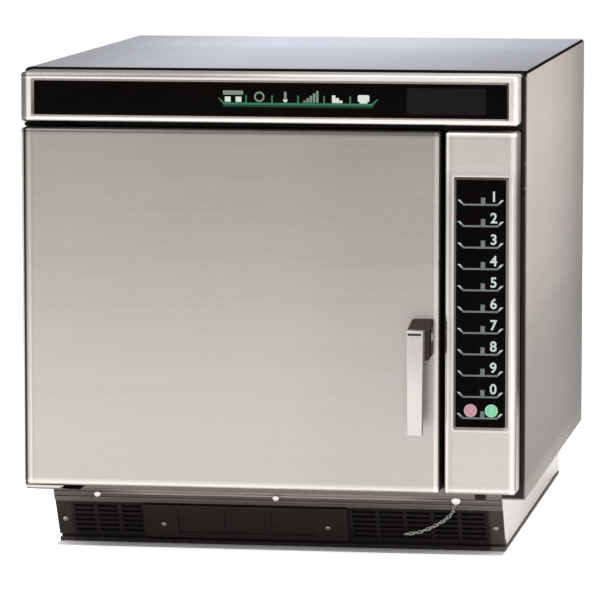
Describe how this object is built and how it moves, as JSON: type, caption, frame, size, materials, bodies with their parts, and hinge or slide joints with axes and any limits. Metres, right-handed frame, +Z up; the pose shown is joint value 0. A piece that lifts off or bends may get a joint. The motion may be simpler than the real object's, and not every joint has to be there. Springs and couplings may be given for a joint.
{
  "type": "speed oven",
  "caption": "Countertop speed oven: steel case on a louvred plinth, side-hinged door with a pull handle, rack, fan and microwave gear, membrane keypad.",
  "frame": {"origin": "centre of the footprint, handle included, on the surface the oven stands on", "axes": "+Z up, the door faces -Y, the door's hinge is at -X, +Y is the depth of the case"},
  "size_m": [0.489, 0.667, 0.471],
  "materials": {
    "brushed_steel": "brushed stainless sheet",
    "galvanised": "dull galvanised sheet",
    "black_steel": "black powder coat",
    "rail_steel": "brown-grey coat, half gloss",
    "black_plastic": "black moulded plastic",
    "black_gloss": "black gloss window",
    "bright_steel": "bright stainless",
    "ceramic": "matte cream ceramic",
    "wool": "mineral wool",
    "silicone": "dark silicone",
    "board": "green circuit board",
    "rubber": "black rubber",
    "mica": "tan sheet",
    "aluminium": "plain aluminium"
  },
  "bodies": {
    "case": {"case_wrap": "brushed_steel", "front_frame": "brushed_steel", "rear_panel": "brushed_steel", "plinth_side_left": "brushed_steel", "plinth_side_right": "brushed_steel", "display_bezel": "brushed_steel", "control_panel": "brushed_steel", "lower_hinge": "brushed_steel", "upper_hinge": "brushed_steel", "base_pan": "galvanised", "convection_motor": "galvanised", "fan_plenum": "galvanised", "lower_magnetron": "galvanised", "upper_magnetron": "galvanised", "stirrer_motor": "galvanised", "blower_motor": "galvanised", "exhaust_duct": "galvanised", "base_grille": "black_steel", "left_transformer": "black_steel", "right_transformer": "black_steel", "heating_element": "black_steel", "front_rail": "rail_steel", "cord_gland": "black_plastic", "blower_housing": "black_plastic", "interlock_switches": "black_plastic", "display_window": "black_gloss", "keypad_overlay": "black_gloss", "cavity_liner": "bright_steel", "rack_support_left": "bright_steel", "rack_support_right": "bright_steel", "temperature_probe": "bright_steel", "fan_baffle": "bright_steel", "ceramic_shelf": "ceramic", "insulation": "wool", "display_board": "board", "control_board": "board", "foot_front_left": "rubber", "foot_front_right": "rubber", "foot_back_left": "rubber", "foot_back_right": "rubber", "feed_cover": "mica", "lower_waveguide": "aluminium", "upper_waveguide": "aluminium", "capacitor": "aluminium"},
    "door": {"door_outer_panel": "brushed_steel", "door_frame": "galvanised", "door_inner_plate": "bright_steel", "door_back_cover": "black_plastic", "door_seal": "silicone", "lower_hinge_block": "galvanised", "upper_hinge_block": "galvanised", "door_handle": "bright_steel"},
    "latch": {"latch_bar": "galvanised", "latch_spring": "bright_steel"},
    "filter": {"filter_cover": "black_plastic", "filter_mesh": "aluminium"},
    "rack": {"oven_rack": "bright_steel"},
    "fan": {"convection_fan": "aluminium"},
    "antenna": {"stirrer": "aluminium"},
    "blower": {"blower_wheel": "black_plastic"}
  },
  "joints": [
    {"name": "door_hinge", "type": "hinge", "parent": "case", "child": "door", "pos_m": [-0.229, -0.268, 0.2421], "axis": [0, 0, -1], "range_deg": [0, 110]},
    {"name": "latch_lift", "type": "slide", "parent": "door", "child": "latch", "axis": [0, 0, 1], "range_m": [0, 0.005], "stiffness_N_per_m": 300, "springref_m": -0.003, "deforming": ["latch_spring"]},
    {"name": "rack_slide", "type": "slide", "parent": "case", "child": "rack", "axis": [0, -1, 0], "range_m": [0, 0.02]},
    {"name": "convection_fan_spin", "type": "hinge", "parent": "case", "child": "fan", "pos_m": [-0.037, 0.1498, 0.2421], "axis": [0, 1, 0], "continuous": true},
    {"name": "stirrer_spin", "type": "hinge", "parent": "case", "child": "antenna", "pos_m": [-0.037, -0.0545, 0.0926], "axis": [0, 0, 1], "continuous": true},
    {"name": "blower_spin", "type": "hinge", "parent": "case", "child": "blower", "pos_m": [0.165, 0.0695, 0.1248], "axis": [1, 0, 0], "continuous": true},
    {"name": "filter_pull", "type": "slide", "parent": "case", "child": "filter", "axis": [0, -1, 0], "range_m": [0, 0.06]}
  ]
}
